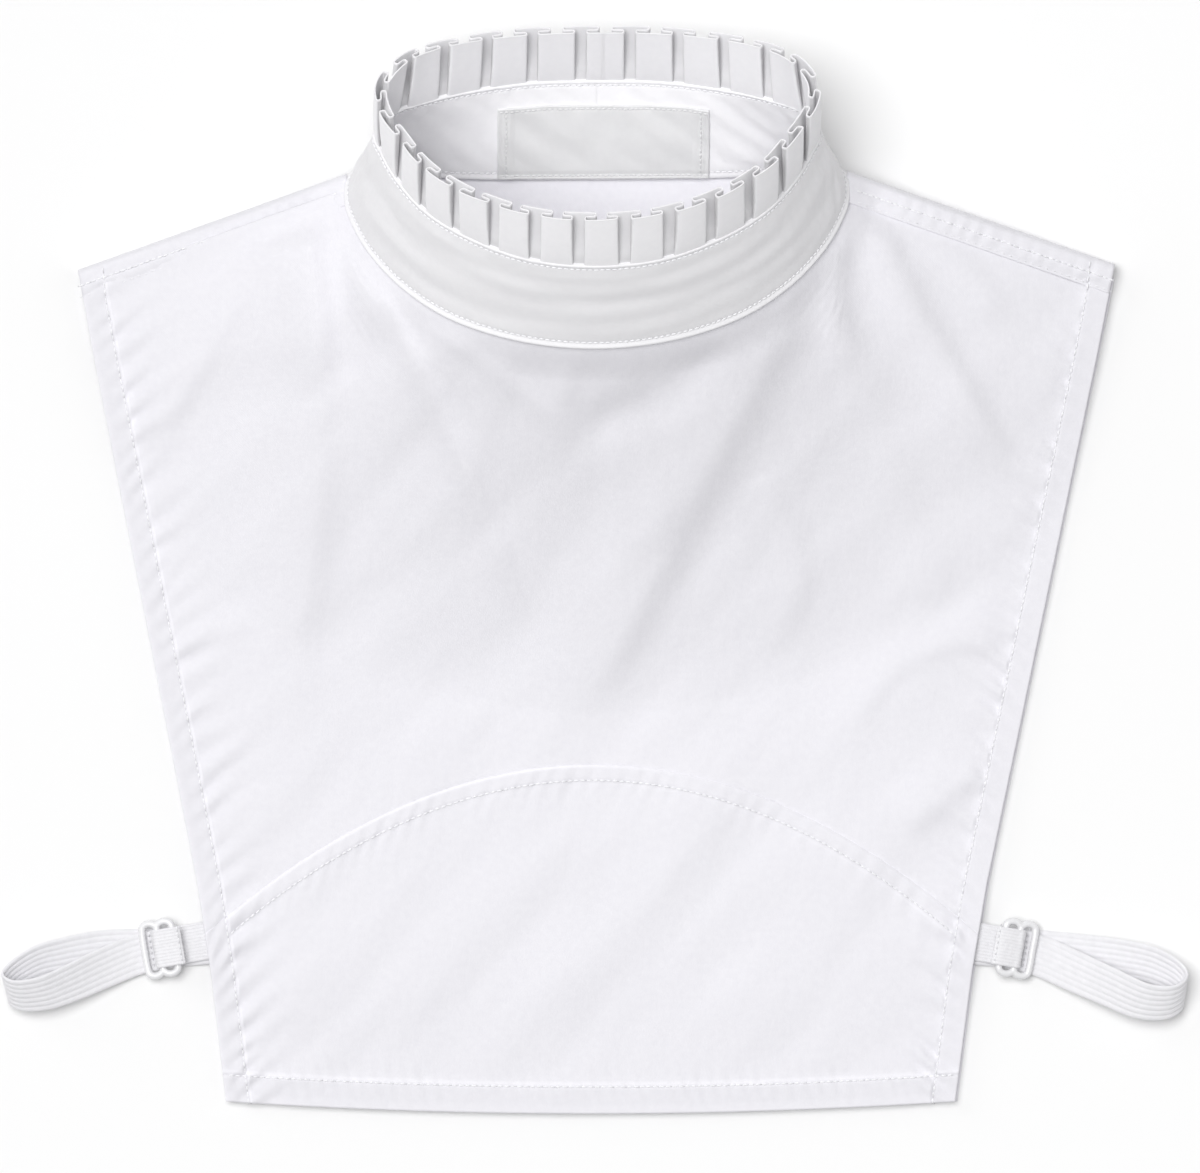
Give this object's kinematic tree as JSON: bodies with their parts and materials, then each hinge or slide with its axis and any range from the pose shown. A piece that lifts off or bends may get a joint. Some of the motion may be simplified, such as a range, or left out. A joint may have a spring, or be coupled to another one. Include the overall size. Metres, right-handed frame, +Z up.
{
  "type": "dickey",
  "caption": "false shirt front of white cotton with a standing collar, a ring of box pleats and elastic side straps, lying on its back",
  "frame": {"origin": "on the surface the dickey lies on, under the middle of its bounding box", "axes": "+X to the wearer's left across the shoulders, which is the right of the front as seen from above; +Y from the hem to the back of the collar; +Z up from the surface it lies on"},
  "size_m": [0.3721, 0.3406, 0.0939],
  "materials": {
    "body_cotton": "white cotton poplin, matt, pressed",
    "collar_cotton": "the same cotton, stiffened in the band and pressed into pleats",
    "label_satin": "pale grey satin ribbon, slightly glossy, blank",
    "strap_elastic": "white ribbed elastic",
    "slider_plastic": "white moulded plastic, glossy"
  },
  "bodies": {
    "root": {"back_panel": "body_cotton", "front_upper_panel": "body_cotton", "front_lower_panel": "body_cotton", "shoulder_strip_left": "body_cotton", "shoulder_strip_right": "body_cotton", "collar_band": "collar_cotton", "ruffle": "collar_cotton", "label": "label_satin", "strap_left": "strap_elastic", "strap_right": "strap_elastic", "strap_tab_left": "strap_elastic", "strap_tab_right": "strap_elastic", "slider_left": "slider_plastic", "slider_right": "slider_plastic"}
  },
  "joints": []
}
